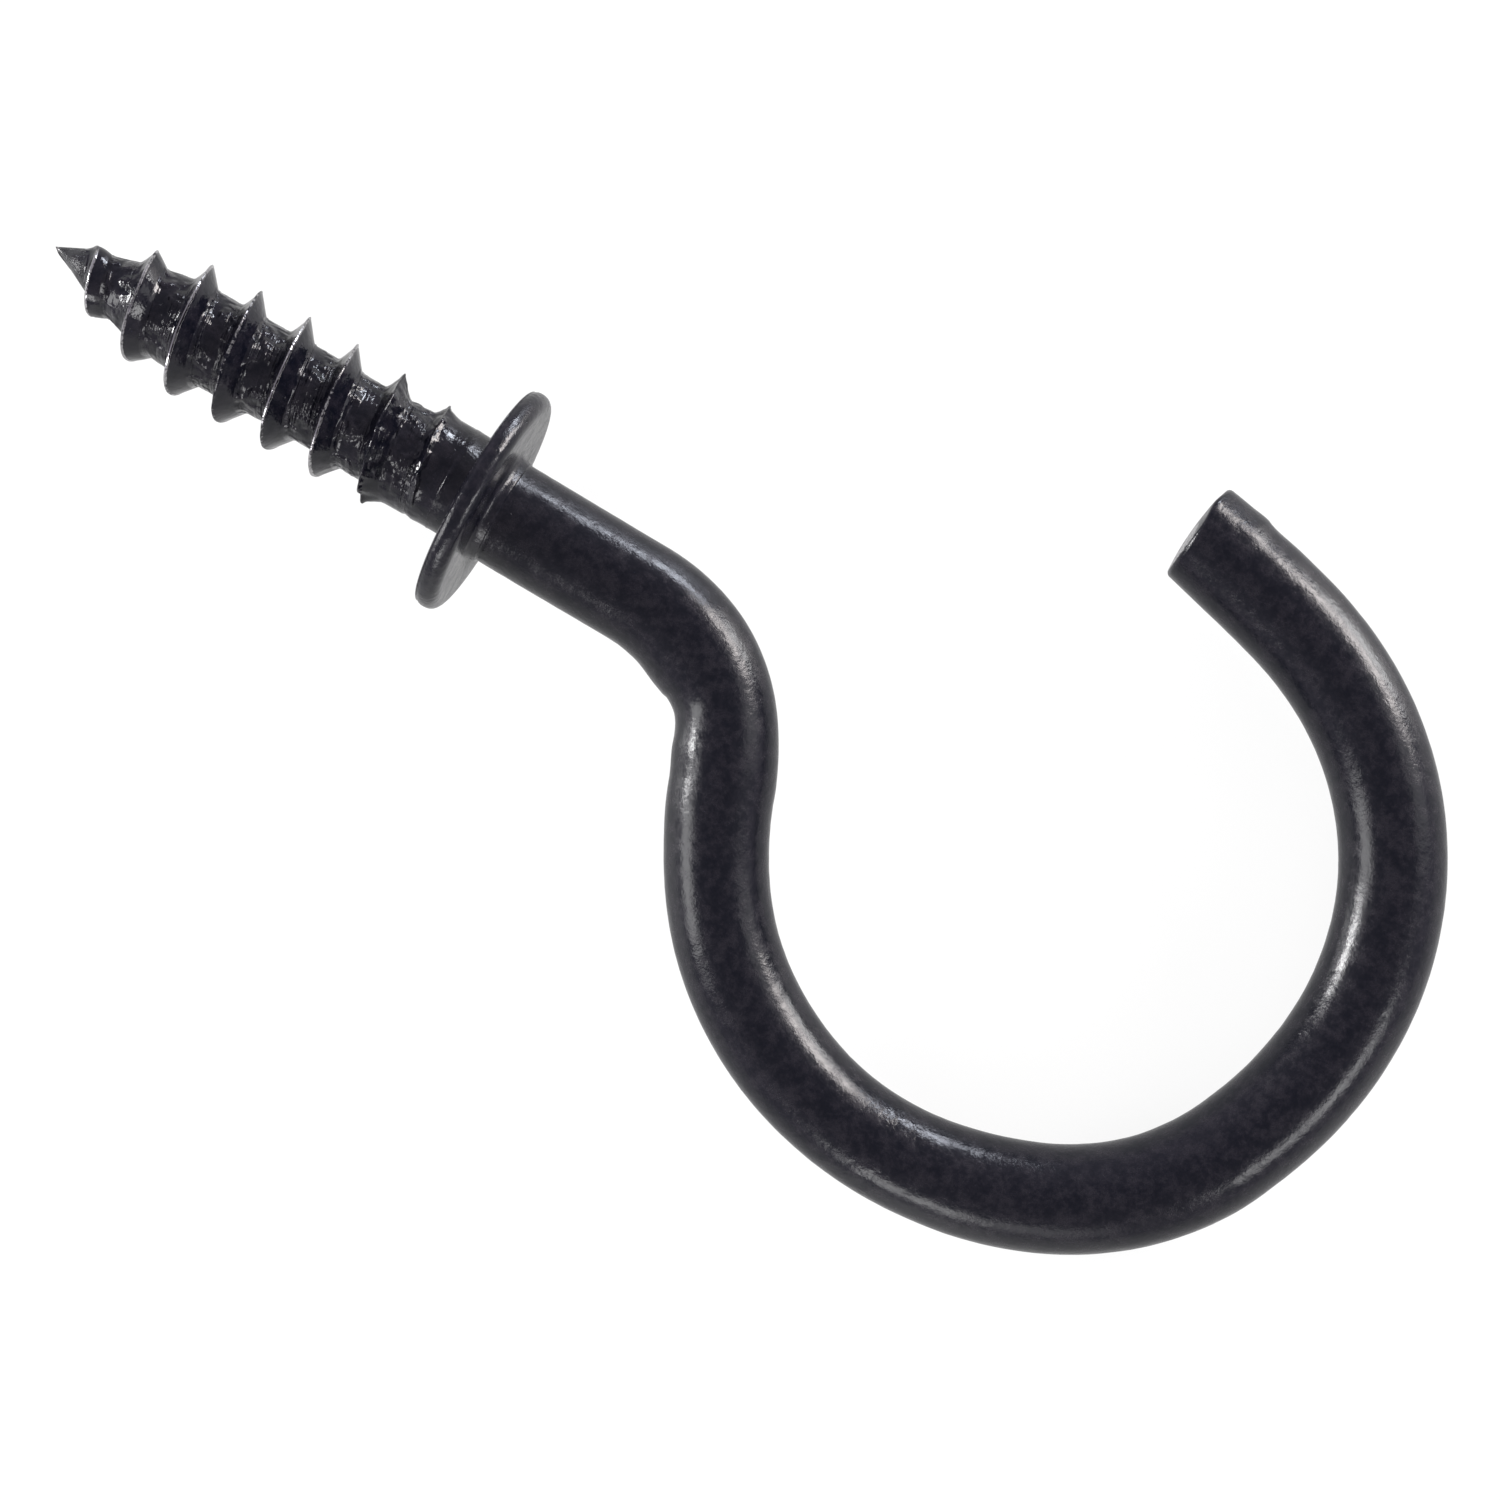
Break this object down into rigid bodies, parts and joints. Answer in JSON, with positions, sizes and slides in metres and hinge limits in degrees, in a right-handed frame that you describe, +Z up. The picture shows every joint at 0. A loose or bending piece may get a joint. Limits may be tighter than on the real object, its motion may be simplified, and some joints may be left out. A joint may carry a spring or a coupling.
{
  "type": "screw hook",
  "caption": "Round open hook bent from one steel wire, with a pressed collar and a gimlet-pointed wood-screw thread. Lies as it comes to rest.",
  "frame": {"origin": "centre of the collar's seating face, on the screw's axis", "axes": "+X along the screw's axis towards the hook, +Y to the side that the mouth opens on, +Z up. The hook lies at rest on the rim of its collar and the underside of its round, so its own axis dips 3.8 degrees below +X and its plane leans 4.0 degrees from level."},
  "size_m": [0.0468, 0.0239, 0.0073],
  "materials": {
    "black_steel": "satin black coating over steel, worn thin to bare grey metal on the thread's crests and the sheared end"
  },
  "bodies": {
    "root": {"screw_hook": "black_steel"}
  },
  "joints": []
}
